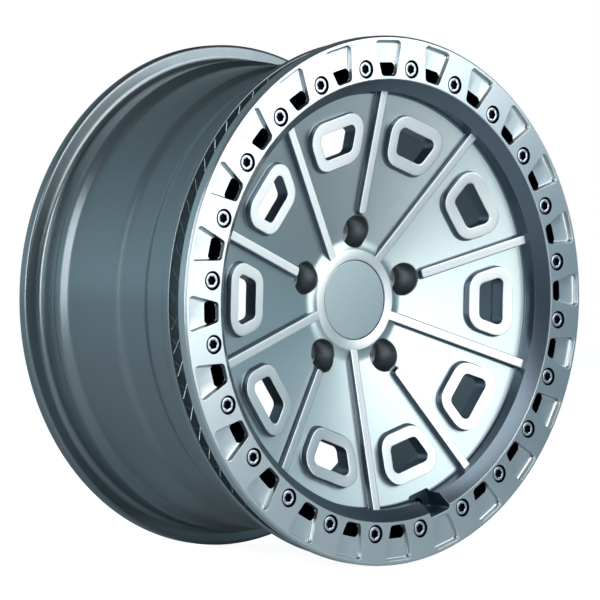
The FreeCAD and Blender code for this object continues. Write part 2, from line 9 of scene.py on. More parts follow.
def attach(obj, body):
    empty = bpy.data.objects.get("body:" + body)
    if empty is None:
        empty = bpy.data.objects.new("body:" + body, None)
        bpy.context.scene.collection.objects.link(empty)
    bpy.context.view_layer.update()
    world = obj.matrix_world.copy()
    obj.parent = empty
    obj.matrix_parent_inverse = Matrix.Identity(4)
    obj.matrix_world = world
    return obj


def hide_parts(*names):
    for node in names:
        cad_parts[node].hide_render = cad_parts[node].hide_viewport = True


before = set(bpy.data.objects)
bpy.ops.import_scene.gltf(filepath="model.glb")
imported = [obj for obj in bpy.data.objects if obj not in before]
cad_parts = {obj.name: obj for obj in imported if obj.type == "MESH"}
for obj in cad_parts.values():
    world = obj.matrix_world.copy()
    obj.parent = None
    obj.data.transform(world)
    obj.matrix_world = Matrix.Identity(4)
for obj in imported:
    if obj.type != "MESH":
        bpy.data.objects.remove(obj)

bl_info = {
    "name": "Forged wheel",
    "version": (1, 0, 0),
    "blender": (4, 5, 0),
    "location": "View3D > Sidebar > Wheel",
    "description": "Builds the finished look of a forged car wheel with a bolted clamp ring",
    "category": "Object",
}

MM = 0.001

# Counts, and angles in degrees about the axle from +X towards +Z
LUG_COUNT = 5
LUG_PITCH = 360.0 / LUG_COUNT
LUG_ANGLE = 90.0
WINDOW_COUNT = 10
WINDOW_PITCH = 360.0 / WINDOW_COUNT
BOLT_COUNT = 24
BOLT_PITCH = 360.0 / BOLT_COUNT
VALVE_ANGLE = -72.0
KNURL_COUNT = 72
KNURL_PITCH = 360.0 / KNURL_COUNT
KNURL_LEAN = 3.3
SHARP_ANGLE = 32.0

# Radii and depths behind the clamp ring's front, in millimetres
HUB_FACE = 98.0
REAR_EDGE = 254.0
WALL_RADIUS = 196.2
FACE_SLOPE = 0.235
FACE_RIM = 194.0
FACE_RIM_DEPTH = 25.6
RAISED_SLOPE = 0.2475
RAISED_RIM_DEPTH = 18.3
DISC_THICKNESS = 8.6
BOSS_RADIUS = 47.6
BOSS_DEPTH = 54.6
CAP_RECESS = 38.1
CAP_SEAT = 60.0
LUG_CIRCLE = 65.0
LUG_POCKET = 16.0
LUG_HOLE = 7.8
PAD_RADIUS = 79.0
HUB_BORE_EDGE = 37.3
FRAME_WIDTH = 10.8
RIB_WIDTH = 8.4
RIB_CORNER = 2.4
LONG_RIB_START = BOSS_RADIUS - 3.0
SHORT_RIB_START = 81.8
RIB_END = WALL_RADIUS + 6.0
RING_THICKNESS = 11.2
RING_RADIUS = 247.3
RING_FLAT = (207.35, 245.2)
BORE_FRONT = 206.9
BORE_BACK = 195.8
POCKET_DEPTH = 4.6
RELIEF_FLOOR = 25.0
NOTCH_FLOOR = 30.0
VALVE_HOLE = 5.75
VALVE_HOLE_CIRCLE = 203.5
BOLT_CIRCLE = 217.6
BOLT_HEAD = 7.0
BOLT_TOP = 0.8
BOLT_SEAT = 6.0
SOCKET_RADIUS = 4.0
SOCKET_LOBE = 0.3
COUNTERBORE = 8.4
SHOULDER_DEPTH = 29.3
KNURL_INNER = 231.4
KNURL_OUTER = 241.2

# Rounded trapezoids: inner and outer radius, half width at each, corner radius
WINDOW = (140.6, 166.2, 16.4, 24.7, 6.0)
POCKET = (209.6, 242.8, 8.6, 17.0, 4.2)
VALVE_POCKET = (214.5, 242.8, 9.84, 17.0, 4.2)
RELIEF = (210.4, 222.6, 8.0, 11.1, 3.6)
NOTCH = (191.5, 211.0, 13.2, 13.2, 3.0)

# Set of the ring's bolts: count, pitch and first angle
BOLT_ROW = (BOLT_COUNT, BOLT_PITCH, VALVE_ANGLE + BOLT_PITCH / 2)

# Growth of an opening at its broken edge
LUG_BREAK = 0.25
NOTCH_BREAK = 0.3
POCKET_BREAK = 0.4
COUNTERBORE_BREAK = 0.35

# Points along the straight sides and round the circles of a mesh
FRAME_STEPS = 14
RIB_STEPS = 30
LUG_STEPS = 72
HEAD_STEPS = 72
HUB_STEPS = 144
PAD_STEPS = 192
BORE_STEPS = 48
HOLE_STEPS = 40

# Order of the materials of the face, the barrel and the clamp ring
SATIN, MACHINED, BLACK_SHADE, GREY_SHADE = range(4)
OUTSIDE, INSIDE = range(2)
RING_FRONT, RING_INSIDE = range(2)


def face_depth(r):
    """Depth of the sunk face, a shallow cone."""
    return FACE_RIM_DEPTH + FACE_SLOPE * (FACE_RIM - r)


def raised_depth(r):
    """Depth of the tops of ribs and frames, a slightly steeper cone."""
    return RAISED_RIM_DEPTH + RAISED_SLOPE * (FACE_RIM - r)


def disc_back(r):
    return face_depth(r) + DISC_THICKNESS


def linear(hex_colour):
    """Linear RGBA of a colour written as a web colour."""
    parts = [int(hex_colour[i:i + 2], 16) / 255 for i in (1, 3, 5)]
    return tuple(c / 12.92 if c <= 0.04045 else ((c + 0.055) / 1.055) ** 2.4 for c in parts) + (1.0,)


def at(x, z, d):
    """Place in metres of a point of the face in millimetres, at a depth behind the ring's front."""
    return Vector((x * MM, (d - HUB_FACE) * MM, z * MM))


def polar(r, degrees, d):
    a = math.radians(degrees)
    return at(r * math.cos(a), r * math.sin(a), d)


def turn(point, degrees):
    x, z = point
    a = math.radians(degrees)
    return (x * math.cos(a) - z * math.sin(a), x * math.sin(a) + z * math.cos(a))


def rounded(path, steps=5):
    """Section with its corners (r, d, radius) rounded, and a close point beside each curve."""
    support = 0.35
    most_of_side = 0.46
    out = [tuple(path[0][:2])]
    for before, corner, after in zip(path, path[1:], path[2:]):
        p = Vector(corner[:2])
        back = Vector(before[:2]) - p
        ahead = Vector(after[:2]) - p
        half = back.angle(ahead) / 2
        if corner[2] <= 0:
            out.append(tuple(p))
            continue
        reach = min(corner[2] / math.tan(half), most_of_side * min(back.length, ahead.length))
        radius = reach * math.tan(half)
        u = back.normalized()
        v = ahead.normalized()
        centre = p + (u + v).normalized() * (radius / math.sin(half))
        start = p + u * reach - centre
        end = p + v * reach - centre
        first = math.atan2(start.y, start.x)
        sweep = (math.atan2(end.y, end.x) - first + math.pi) % (2 * math.pi) - math.pi
        room = min(support, 0.1 * min(back.length, ahead.length))
        out.append(tuple(p + u * (reach + room)))
        for k in range(steps + 1):
            a = first + sweep * k / steps
            out.append((centre.x + radius * math.cos(a), centre.y + radius * math.sin(a)))
        out.append(tuple(p + v * (reach + room)))
    out.append(tuple(path[-1][:2]))
    return out


def trapezoid(shape, grow=0.0, side_steps=10):
    """Rounded outline along +X, grown evenly; every growth has the same number of points."""
    corner_steps = 6
    least_radius = 0.25
    inner, outer, inner_half, outer_half, corner = shape
    slope = (outer_half - inner_half) / (outer - inner)
    lift = grow * math.hypot(1.0, slope)
    lo = inner - grow
    hi = outer + grow
    lo_half = inner_half - slope * grow + lift
    hi_half = outer_half + slope * grow + lift
    corners = [Vector(p) for p in ((lo, -lo_half), (hi, -hi_half), (hi, hi_half), (lo, lo_half))]
    radius = max(corner + grow, least_radius)
    arcs = []
    for i in range(4):
        u = (corners[i - 1] - corners[i]).normalized()
        v = (corners[(i + 1) % 4] - corners[i]).normalized()
        half = u.angle(v) / 2
        reach = radius / math.tan(half)
        centre = corners[i] + (u + v).normalized() * (radius / math.sin(half))
        a = corners[i] + u * reach - centre
        b = corners[i] + v * reach - centre
        first = math.atan2(a.y, a.x)
        sweep = (math.atan2(b.y, b.x) - first + math.pi) % (2 * math.pi) - math.pi
        angles = [first + sweep * k / corner_steps for k in range(corner_steps + 1)]
        arcs.append([centre + Vector((math.cos(t), math.sin(t))) * radius for t in angles])
    points = []
    for i in range(4):
        points.extend(arcs[i])
        here = arcs[i][-1]
        there = arcs[(i + 1) % 4][0]
        points.extend(here.lerp(there, k / side_steps) for k in range(1, side_steps))
    return [tuple(p) for p in points]


def inside(shape, point, grow=0.0):
    """True where a point lies in a trapezoid, its corners taken as sharp."""
    return wall_distance(shape, point) > -grow


def wall_distance(shape, point):
    """Distance from a point in a trapezoid to the nearest of its four sides."""
    inner, outer, inner_half, outer_half, _ = shape
    slope = (outer_half - inner_half) / (outer - inner)
    half = inner_half + slope * (point[0] - inner)
    return min(point[0] - inner, outer - point[0], (half - abs(point[1])) / math.hypot(1.0, slope))


def circle(x, z, r, count):
    angles = [math.tau * k / count for k in range(count)]
    return [(x + r * math.cos(a), z + r * math.sin(a)) for a in angles]


def round_loop(x, r, d, count):
    """Circle at a depth, its middle on +X."""
    return [at(px, pz, d) for px, pz in circle(x, 0.0, r, count)]


class Shell:
    """Surface under construction: corners in metres and faces, each with the number of its material."""

    def __init__(self):
        self.points = []
        self.faces = []
        self.marks = []

    def face(self, corners, mark):
        if len(set(corners)) > 2:
            self.faces.append(corners)
            self.marks.append(mark)

    def loft(self, loops, mark=0, closed=True, keep=None):
        """Skin over a row of loops with equal numbers of points; mark may be one number for each band."""
        first = len(self.points)
        count = len(loops[0])
        for loop in loops:
            self.points.extend(loop)
        for j in range(len(loops) - 1):
            band = mark[j] if isinstance(mark, (list, tuple)) else mark
            for i in range(count if closed else count - 1):
                k = (i + 1) % count
                quad = (first + j * count + i, first + j * count + k,
                        first + (j + 1) * count + k, first + (j + 1) * count + i)
                if keep is None or keep(sum((self.points[q] for q in quad), Vector()) / 4 / MM):
                    self.face(quad, band)

    def spin(self, section, mark, segments, gap=None, keep=None):
        """Section (r, d) turned about the axle. A gap leaves out a straight-sided slot at the valve."""
        loops = []
        for r, d in section:
            skip = 0.0 if gap is None else math.degrees(math.asin(gap / r))
            reach = 360.0 - 2 * skip
            count = segments if gap is None else segments + 1
            loops.append([polar(r, VALVE_ANGLE + skip + reach * k / segments, d) for k in range(count)])
        self.loft(loops, mark, closed=gap is None, keep=keep)

    def sheet(self, points, loops, depth, keep):
        """Fine triangles over points and closed loops seen from the front, set to a depth function."""
        places = [Vector(p) for p in points]
        edges = []
        for loop in loops:
            start = len(places)
            places.extend(Vector(p) for p in loop)
            edges.extend((start + k, start + (k + 1) % len(loop)) for k in range(len(loop)))
        merge = 1e-5
        corners, _, triangles, *_ = delaunay_2d_cdt(places, edges, [], 0, merge)
        first = len(self.points)
        self.points.extend(at(c.x, c.y, depth(c.x, c.y)) for c in corners)
        for tri in triangles:
            middle = sum((corners[k] for k in tri), Vector((0.0, 0.0))) / len(tri)
            if keep(middle.x, middle.y):
                self.face(tuple(first + k for k in tri), 0)

    def plate(self, loops, depth, mark=0):
        """Flat face at a depth, its first loop the outside and the others holes."""
        rings = [[Vector((p[0], p[1], 0.0)) for p in loop] for loop in loops]
        first = len(self.points)
        self.points.extend(at(p.x, p.y, depth) for ring in rings for p in ring)
        for tri in tessellate_polygon(rings):
            self.face(tuple(first + k for k in tri), mark)

    def mesh(self, name, materials):
        data = bpy.data.meshes.new(name)
        data.from_pydata(self.points, [], self.faces)
        for material in materials:
            data.materials.append(material)
        data.polygons.foreach_set("material_index", self.marks)
        data.validate()
        data.shade_smooth()
        data.set_sharp_from_angle(angle=math.radians(SHARP_ANGLE))
        return data


def add_piece(name, data, node=None):
    """Piece at the origin that rides on the root, in place of a solid where a node is named."""
    piece = bpy.data.objects.new(name, data)
    bpy.context.scene.collection.objects.link(piece)
    if node:
        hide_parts(node)
    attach(piece, "root")
    return piece


def add_node(tree, kind, **settings):
    """New node with its properties and input defaults; an input is named by its socket."""
    node = tree.nodes.new(kind)
    for key, value in settings.pop("inputs", {}).items():
        node.inputs[key].default_value = value
    for key, value in settings.items():
        setattr(node, key, value)
    return node


def metal(name, colour, roughness, grain_mm, turned=0.0):
    """Metal whose gloss varies a little over a grain; a turned one spreads light away from the axle."""
    grain = 0.05
    material = bpy.data.materials.new(name)
    material.use_nodes = True
    tree = material.node_tree
    shader = tree.nodes["Principled BSDF"]
    shader.inputs["Base Color"].default_value = (*colour, 1.0)
    shader.inputs["Metallic"].default_value = 1.0
    place = add_node(tree, "ShaderNodeTexCoord")
    noise = add_node(tree, "ShaderNodeTexNoise", inputs={"Scale": 1.0 / (grain_mm * MM), "Detail": 3.0})
    spread = add_node(tree, "ShaderNodeMapRange",
                      inputs={"To Min": roughness - grain, "To Max": roughness + grain})
    tree.links.new(place.outputs["Object"], noise.inputs["Vector"])
    tree.links.new(noise.outputs["Fac"], spread.inputs["Value"])
    tree.links.new(spread.outputs["Result"], shader.inputs["Roughness"])
    if turned:
        flat = add_node(tree, "ShaderNodeVectorMath", operation="MULTIPLY", inputs={1: (1.0, 0.0, 1.0)})
        outward = add_node(tree, "ShaderNodeVectorMath", operation="NORMALIZE")
        tree.links.new(place.outputs["Object"], flat.inputs[0])
        tree.links.new(flat.outputs["Vector"], outward.inputs[0])
        tree.links.new(outward.outputs["Vector"], shader.inputs["Tangent"])
        shader.inputs["Anisotropic"].default_value = turned
    return material


def finishes():
    """The wheel's finishes and painted shades, made once and shared by name."""
    if "satin silver" in bpy.data.materials:
        return bpy.data.materials
    look = bpy.context.scene.wheel_look
    # Clear-coated satin silver of the sunk face: soft and cool, never mirror bright
    metal("satin silver", look.face_colour, 0.36, 1.2)
    # Machined tops of ribs, frames and boss: paler than the face, with a broad sheen along each tool mark
    metal("machined", look.top_colour, 0.45, 0.8, turned=0.85)
    # Flanks of the raised details and walls of the windows: greyer, painted shade that draws dark lines round
    # the tops where the flanks would fall in shadow
    metal("flank painted shade", linear("#717D88")[:3], 0.32, 1.0)
    # Clamp ring: even satin, turned all over
    metal("ring satin", look.ring_colour, 0.31, 1.0, turned=0.25)
    # Sloped bore of the ring, wall below it and valve notch: grey, a dark band round the face; a darker
    # finish on the bore, and painted shade on the wall and in the notch
    metal("ring bore and shade grey", linear("#6C7984")[:3], 0.30, 1.0)
    # Barrel: the same metal with a slightly cloudy polish
    metal("barrel satin", look.barrel_colour, 0.33, 14.0)
    # Pressed-in seats: plain steel so deep in their pockets that only a soft line of light shows
    metal("dark seat", linear("#A6ABAE")[:3], 0.33, 1.0)
    # Deep recesses behind the ring and at the valve, counterbores and bolt sockets: black, painted shade
    # where they would fall in shadow
    metal("black painted shade", linear("#15172A")[:3], 0.55, 1.0)
    # Inside of the barrel and back of the disc: darker and duller than the outside, painted shade for the
    # inside seen through the windows
    metal("inner painted shade", linear("#8A9296")[:3], 0.50, 3.0)
    # Cap: a shade darker than the boss around it, so it reads as its own piece
    metal("cap satin", look.cap_colour, 0.36, 1.0)
    # Bolts: bright plating, so each head sparkles in its counterbore, which is black painted shade
    metal("plated bolt", linear("#C2CACE")[:3], 0.30, 0.6)
    # Wire behind the cap: drawn steel, out of view
    metal("spring wire", linear("#9A9DA0")[:3], 0.30, 0.6)
    return bpy.data.materials


def repeat_group():
    """Node tree that sets copies of one object round the axle and gives them their material."""
    if "Repeat about axle" in bpy.data.node_groups:
        return bpy.data.node_groups["Repeat about axle"]
    tree = bpy.data.node_groups.new("Repeat about axle", "GeometryNodeTree")
    inputs = (("Object", "Object"), ("Count", "Int"), ("Step", "Float"), ("Phase", "Float"),
              ("Material", "Material"))
    for name, kind in inputs:
        tree.interface.new_socket(name, in_out="INPUT", socket_type="NodeSocket" + kind)
    tree.interface.new_socket("Geometry", in_out="OUTPUT", socket_type="NodeSocketGeometry")
    source = add_node(tree, "NodeGroupInput")
    line = add_node(tree, "GeometryNodeMeshLine", inputs={"Offset": (0.0, 0.0, 0.0)})
    thing = add_node(tree, "GeometryNodeObjectInfo")
    index = add_node(tree, "GeometryNodeInputIndex")
    angle = add_node(tree, "ShaderNodeMath", operation="MULTIPLY_ADD")
    spin = add_node(tree, "ShaderNodeCombineXYZ")
    copies = add_node(tree, "GeometryNodeInstanceOnPoints")
    real = add_node(tree, "GeometryNodeRealizeInstances")
    paint = add_node(tree, "GeometryNodeSetMaterial")
    out = add_node(tree, "NodeGroupOutput")
    link = tree.links.new
    link(source.outputs["Count"], line.inputs["Count"])
    link(source.outputs["Object"], thing.inputs["Object"])
    link(index.outputs["Index"], angle.inputs[0])
    link(source.outputs["Step"], angle.inputs[1])
    link(source.outputs["Phase"], angle.inputs[2])
    link(angle.outputs["Value"], spin.inputs["Y"])
    link(line.outputs["Mesh"], copies.inputs["Points"])
    link(thing.outputs["Geometry"], copies.inputs["Instance"])
    link(spin.outputs["Vector"], copies.inputs["Rotation"])
    link(copies.outputs["Instances"], real.inputs["Geometry"])
    link(real.outputs["Geometry"], paint.inputs["Geometry"])
    link(source.outputs["Material"], paint.inputs["Material"])
    link(paint.outputs["Geometry"], out.inputs["Geometry"])
    return tree


def repeat(name, shell, count, pitch, start, material, slot, node=None):
    """Copies of a shell, built along +X, set round the axle from a start angle and kept as one piece."""
    single = bpy.data.objects.new(name + " single", shell.mesh(name + " single", []))
    host = bpy.data.objects.new(name + " host", bpy.data.meshes.new(name + " host"))
    for item in (single, host):
        bpy.context.scene.collection.objects.link(item)
    modifier = host.modifiers.new("Repeat", "NODES")
    tree = repeat_group()
    values = {"Object": single, "Count": count, "Material": material,
              "Step": -math.radians(pitch), "Phase": -math.radians(start)}
    modifier.node_group = tree
    for item in tree.interface.items_tree:
        if item.in_out == "INPUT":
            modifier[item.identifier] = values[item.name]
    graph = bpy.context.evaluated_depsgraph_get()
    data = bpy.data.meshes.new_from_object(host.evaluated_get(graph))
    data.name = name
    for item in (host, single):
        bpy.data.objects.remove(item)
    if not data.polygons:
        raise RuntimeError(f"{name} came out empty")
    return add_piece(name, data, node)


# Sections of the face (r, d). The flank of the boss is one wide hollow radius that runs out into the face
BOSS_EDGE = [
    (CAP_RECESS, BOSS_DEPTH + 0.5), (CAP_RECESS + 0.15, BOSS_DEPTH + 0.15), (CAP_RECESS + 0.5, BOSS_DEPTH),
    (BOSS_RADIUS - 0.7, BOSS_DEPTH), (BOSS_RADIUS - 0.3, BOSS_DEPTH + 0.03), (BOSS_RADIUS, BOSS_DEPTH + 0.18),
]
FLANK_RADIUS = 18.0
FLANK_CENTRE = (56.88, 39.34)
FLANK_END = 61.4
BOSS_FLANK = [(FLANK_CENTRE[0] + FLANK_RADIUS * math.cos(math.radians(a)),
               FLANK_CENTRE[1] + FLANK_RADIUS * math.sin(math.radians(a))) for a in range(120, 76, -4)]
FACE_SECTION = BOSS_EDGE + BOSS_FLANK + rounded([
    (FLANK_END, face_depth(FLANK_END), 0),
    (WALL_RADIUS, face_depth(WALL_RADIUS), 3.0),
    (WALL_RADIUS, RING_THICKNESS - 0.2, 0),
], steps=7)
FACE_END = WALL_RADIUS - 3.4
FACE_GRID = 4.0
WALL_FALL = 30.0

# Cap recess and its floor, lip for the cap's legs, relief behind it, bore over the hub, chamfer
HUB_BORE = [
    (CAP_RECESS, BOSS_DEPTH + 0.5), (CAP_RECESS, CAP_SEAT), (33.0, CAP_SEAT), (33.0, 68.0), (34.8, 68.0),
    (34.8, 78.0), (35.8, 78.0), (35.8, HUB_FACE - 1.5), (HUB_BORE_EDGE, HUB_FACE),
]


def surface_depth(r):
    """Depth of the sunk face, hub boss included, at a radius."""
    if r <= FACE_SECTION[0][0]:
        return FACE_SECTION[0][1]
    for (r0, d0), (r1, d1) in zip(FACE_SECTION, FACE_SECTION[1:]):
        if r0 <= r <= r1 and r1 > r0:
            return d0 + (d1 - d0) * (r - r0) / (r1 - r0)
    return face_depth(r)


def front_depth(r):
    """Depth of what lies at the front at a radius: face, its steep wall, bore of the ring, or its flat."""
    if r >= BORE_FRONT:
        return 0.0
    if r >= BORE_BACK:
        return (BORE_FRONT - r) * RING_THICKNESS / (BORE_FRONT - BORE_BACK)
    return min(surface_depth(r), RING_THICKNESS + (WALL_RADIUS - r) * WALL_FALL)


def lug_places():
    return [turn((LUG_CIRCLE, 0.0), LUG_ANGLE + LUG_PITCH * k) for k in range(LUG_COUNT)]


def near_window(x, z, grow):
    """True where a point of the disc lies in one of its windows, grown by a distance."""
    angle = math.degrees(math.atan2(z, x))
    back = turn((x, z), -WINDOW_PITCH * round(angle / WINDOW_PITCH))
    return inside(WINDOW, back, grow)


def build_sunk_face(shell):
    """Sunk face and boss top, open at windows, lug pockets and valve notch; gives the radius of its rim."""
    under_frame = 5.0
    slack = 0.05
    lugs = lug_places()
    radii = [r for r, _ in FACE_SECTION if r <= FLANK_END]
    r = radii[-1] + FACE_GRID - 1.0
    while r < FACE_END - FACE_GRID / 2:
        radii.append(r)
        r += FACE_GRID
    radii.extend([r for r, _ in FACE_SECTION if radii[-1] + 1.0 < r <= FACE_END] or [FACE_END])
    low = min(radii)
    rim = max(radii)

    def clear(x, z):
        if any(math.hypot(x - lx, z - lz) < LUG_POCKET + LUG_BREAK + slack for lx, lz in lugs):
            return False
        return not inside(NOTCH, turn((x, z), -VALVE_ANGLE))

    def keep(x, z):
        return low < math.hypot(x, z) < rim and clear(x, z) and not near_window(x, z, under_frame)

    points = []
    for n, r in enumerate(radii):
        # fewer points on the short circles round the hub
        count = 240 if r < 90 else 300
        for k in range(count):
            p = turn((r, 0.0), 360.0 * (k + 0.5 * (n % 2)) / count)
            if clear(*p):
                points.append(p)
    loops = [circle(lx, lz, LUG_POCKET + LUG_BREAK, LUG_STEPS) for lx, lz in lugs]
    loops.append([turn(p, VALVE_ANGLE) for p in trapezoid(NOTCH)])
    shell.sheet(points, loops, lambda x, z: surface_depth(math.hypot(x, z)), keep)
    boss_top = (BOSS_RADIUS + 0.7) * MM
    for k, tri in enumerate(shell.faces):
        if max(math.hypot(shell.points[q].x, shell.points[q].z) for q in tri) < boss_top:
            shell.marks[k] = MACHINED
    return rim


def build_valve_notch(shell):
    """Valve notch: walls, floor and the start of the hole to the tyre side."""
    walls = []
    for grow, sink in ((NOTCH_BREAK, 0.0), (0.08, 0.08), (0.0, 0.3)):
        outline = trapezoid(NOTCH, grow)
        walls.append([at(*turn(p, VALVE_ANGLE), front_depth(math.hypot(*p)) + sink) for p in outline])
    for grow, d in ((0.0, NOTCH_FLOOR - 0.8), (-0.25, NOTCH_FLOOR - 0.2), (-0.8, NOTCH_FLOOR)):
        walls.append([at(*turn(p, VALVE_ANGLE), d) for p in trapezoid(NOTCH, grow)])
    # The deeper bands of the walls and the floor are painted shade in the ring bore's grey, and the hole is
    # black painted shade
    shell.loft(walls, [SATIN, SATIN, GREY_SHADE, GREY_SHADE, GREY_SHADE])
    floor = [turn(p, VALVE_ANGLE) for p in trapezoid(NOTCH, -0.8)]
    hole = circle(*turn((VALVE_HOLE_CIRCLE, 0.0), VALVE_ANGLE), VALVE_HOLE, HOLE_STEPS)
    shell.plate([floor, hole], NOTCH_FLOOR, GREY_SHADE)
    shell.loft([[at(x, z, d) for x, z in hole] for d in (NOTCH_FLOOR, NOTCH_FLOOR + 6.0)], BLACK_SHADE)


def build_face(props):
    """Front of the forging from the hub bore to the wall under the clamp ring."""
    shell = Shell()
    rim = build_sunk_face(shell)
    wall = [p for p in FACE_SECTION if p[0] > FACE_END - 1.5]
    start = rim - 0.4
    # The face's wall under the ring is painted shade in the ring bore's grey
    bands = [SATIN, SATIN] + [GREY_SHADE] * (len(wall) - 2)
    shell.spin([(start, surface_depth(start))] + wall, bands, props.segments, gap=NOTCH[2])
    for lx, lz in lug_places():
        edge = []
        for grow, sink in ((LUG_BREAK, 0.0), (0.06, 0.08), (0.0, 0.3), (0.0, 0.9)):
            outline = circle(lx, lz, LUG_POCKET + grow, LUG_STEPS)
            edge.append([at(x, z, surface_depth(math.hypot(x, z)) + sink) for x, z in outline])
        shell.loft(edge, SATIN)
    build_valve_notch(shell)
    shell.spin(HUB_BORE, SATIN, HUB_STEPS)
    return shell


# Radii between which the back of the disc is a plain cone
BACK_OUTER = 180
BACK_INNER = 105

# Shelf, shoulder, seat and hump, drop well, rear seat and flange, then back along the inside
BARREL_SECTION = rounded([
    (230.5, RING_THICKNESS, 0), (230.5, SHOULDER_DEPTH, 0.8), (243.5, SHOULDER_DEPTH, 1.5),
    (243.5, 36.0, 1.5), (230.0, 36.0, 1.2), (230.0, 47.0, 3.0), (231.6, 49.5, 2.0), (231.6, 54.0, 3.0),
    (225.5, 60.5, 6.0), (225.5, 84.0, 18.0), (221.5, 92.0, 18.0), (221.5, 126.0, 18.0), (225.5, 134.0, 18.0),
    (225.5, 203.0, 7.0), (231.6, 212.0, 7.0), (231.6, 218.0, 2.0), (229.8, 220.5, 2.0), (231.0, 242.5, 6.0),
    (247.9, 242.5, 3.4), (247.9, REAR_EDGE, 3.4), (241.4, REAR_EDGE, 2.5), (224.5, 245.0, 7.0),
    (224.5, 212.0, 7.0), (219.0, 203.0, 7.0), (219.0, 134.0, 8.0), (215.0, 126.0, 8.0), (215.0, 92.0, 8.0),
    (219.0, 84.0, 8.0), (219.0, 60.5, 14.0), (200.0, disc_back(200.0), 14.0),
    (BACK_OUTER, disc_back(BACK_OUTER), 0),
], steps=6)


def build_barrel(props):
    """Behind the clamp ring: shelf, shoulder, barrel, rear flange, and the back of the disc and hub."""
    shell = Shell()
    lip = next(k for k, p in enumerate(BARREL_SECTION) if p[1] > REAR_EDGE - 0.1)
    lip_bands = 12
    # Inside of the barrel, back of the disc and hub pad take the inner painted shade
    bands = [OUTSIDE if k < lip + lip_bands else INSIDE for k in range(len(BARREL_SECTION) - 1)]
    shell.spin(BARREL_SECTION, bands, props.segments)
    back = [(r, disc_back(r)) for r in range(BACK_OUTER, BACK_INNER - 1, -3)]
    shell.spin(back, INSIDE, props.segments, keep=lambda p: not near_window(p.x, p.z, 4.0))
    pad = rounded([(BACK_INNER, disc_back(BACK_INNER), 0), (90.0, disc_back(90.0), 14.0),
                   (PAD_RADIUS + 2.0, HUB_FACE, 1.0), (PAD_RADIUS, HUB_FACE, 0)])
    shell.spin(pad, INSIDE, PAD_STEPS)
    holes = [circle(lx, lz, LUG_HOLE, HOLE_STEPS) for lx, lz in lug_places()]
    rims = [circle(0, 0, PAD_RADIUS, PAD_STEPS), circle(0, 0, HUB_BORE_EDGE, HUB_STEPS)]
    shell.plate(rims + holes, HUB_FACE, OUTSIDE)
    for hole in holes:
        shell.loft([[at(x, z, d) for x, z in hole] for d in (HUB_FACE, HUB_FACE - 12.0)], OUTSIDE)
    return shell


def relief_profile(edge):
    """Steps of a raised edge from its filleted foot to its broken top: growth, surface and depth from it."""
    foot = [(2.3, 0.4), (1.8, -0.03), (1.0, -0.25), (0.45, -0.75), (0.15, -1.7)]
    top = [(0.0, 0.55), (-0.12, 0.22), (-0.45, 0.02), (-0.9, 0.0)]
    return ([(edge + grow, face_depth, sink) for grow, sink in foot]
            + [(edge + grow, raised_depth, sink) for grow, sink in top])


# Number of those steps up to the top's edge
FOOT_STEPS = 6


def raised_loops(shape, steps, side_steps):
    loops = []
    for grow, depth, sink in steps:
        outline = trapezoid(shape, grow, side_steps)
        loops.append([at(x, z, depth(math.hypot(x, z)) + sink) for x, z in outline])
    return loops


def build_frames(props):
    """One window: raised frame with a filleted foot and the wall of the opening, and its machined top."""
    outer = relief_profile(props.frame_width / MM)
    wall = [(0.0, raised_depth, 0.55), (0.0, raised_depth, 1.5), (0.0, disc_back, -1.2),
            (0.1, disc_back, -0.4), (0.5, disc_back, 0.02), (7.0, disc_back, 0.02)]
    inner = [(1.0, raised_depth, 0.0), (0.45, raised_depth, 0.02), (0.12, raised_depth, 0.22),
             (0.0, raised_depth, 0.55)]
    foot = Shell()
    foot.loft(raised_loops(WINDOW, outer[:FOOT_STEPS], FRAME_STEPS))
    foot.loft(raised_loops(WINDOW, wall, FRAME_STEPS))
    top = Shell()
    top.loft(raised_loops(WINDOW, outer[FOOT_STEPS - 1:] + inner, FRAME_STEPS))
    return foot, top


def build_ribs(props, start):
    """One rib from a start radius into the wall: filleted foot, and machined top."""
    half = props.rib_width / MM / 2
    shape = (start, RIB_END, half, half, RIB_CORNER)
    steps = relief_profile(0.0)
    closing = [(-RIB_CORNER, raised_depth, 0.0), (0.05 - half, raised_depth, 0.0)]
    foot = Shell()
    foot.loft(raised_loops(shape, steps[:FOOT_STEPS], RIB_STEPS))
    top = Shell()
    top.loft(raised_loops(shape, steps[FOOT_STEPS - 1:] + closing, RIB_STEPS))
    return foot, top


def ring_holes():
    """Outlines that the flat front of the clamp ring leaves open, each grown by its edge break."""
    loops = []
    for k in range(BOLT_COUNT):
        shape = POCKET if k else VALVE_POCKET
        loops.append([turn(p, VALVE_ANGLE + BOLT_PITCH * k) for p in trapezoid(shape, POCKET_BREAK)])
        x, z = turn((BOLT_CIRCLE, 0.0), VALVE_ANGLE + BOLT_PITCH * (k + 0.5))
        loops.append(circle(x, z, COUNTERBORE + COUNTERBORE_BREAK, BORE_STEPS))
    loops.append([turn(p, VALVE_ANGLE) for p in trapezoid(NOTCH, NOTCH_BREAK)])
    return loops


# Sections of the clamp ring: its 45 degree bore with broken edges, and its rim and back
RING_BORE = [(RING_FLAT[0], 0.0), (207.05, 0.06), (206.85, 0.28), (206.5, 0.66), (196.3, 10.7),
             (195.95, 10.95), (195.85, RING_THICKNESS)]
RING_RIM = rounded([
    (RING_FLAT[1], 0.0, 0), (RING_FLAT[1] + 0.4, 0.0, 0.3), (RING_RADIUS, 1.9, 1.4),
    (RING_RADIUS, RING_THICKNESS - 1.0, 0.5), (RING_RADIUS - 1.0, RING_THICKNESS, 0.4),
    (229.9, RING_THICKNESS, 0),
], steps=4)


